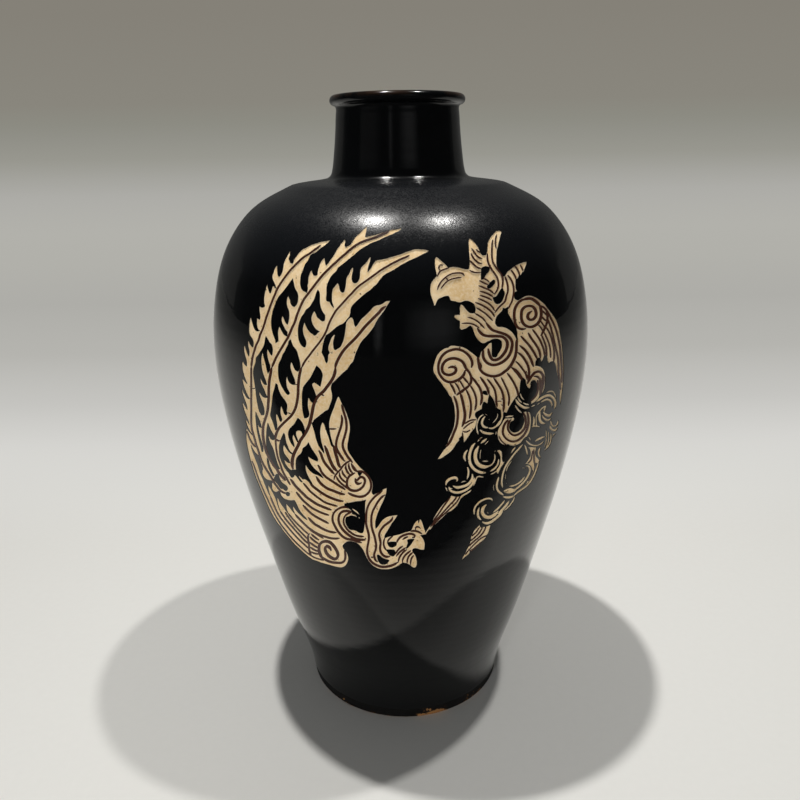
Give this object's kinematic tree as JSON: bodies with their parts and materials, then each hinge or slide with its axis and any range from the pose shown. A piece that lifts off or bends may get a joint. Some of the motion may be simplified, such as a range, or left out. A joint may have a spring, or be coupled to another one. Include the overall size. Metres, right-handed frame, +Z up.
{
  "type": "meiping vase",
  "caption": "Tall stoneware vase with a high full shoulder, short narrow neck and rolled lip, tapering to a flat foot; black glaze with a paired bird design in bare clay.",
  "frame": {"origin": "centre of the foot ring, on the surface that the vase stands on", "axes": "+Z up along the turning axis, -Y the side that carries the ornament, +X to the right seen from the front"},
  "size_m": [0.2048, 0.2048, 0.34],
  "materials": {
    "clay": "bare fired stoneware, matt",
    "slip": "fired slip, matt",
    "black_glaze": "glossy near-black glaze, slightly brown where thin",
    "inner_glaze": "thin dark brown glaze, satin"
  },
  "bodies": {
    "root": {"foot_section": "clay", "belly_section": "clay", "shoulder_section": "clay", "neck_collar": "clay", "mouth_ring": "clay", "foot_lute": "slip", "shoulder_lute": "slip", "neck_lute": "slip", "mouth_lute": "slip", "outer_glaze": "black_glaze", "inner_glaze": "inner_glaze"}
  },
  "joints": []
}
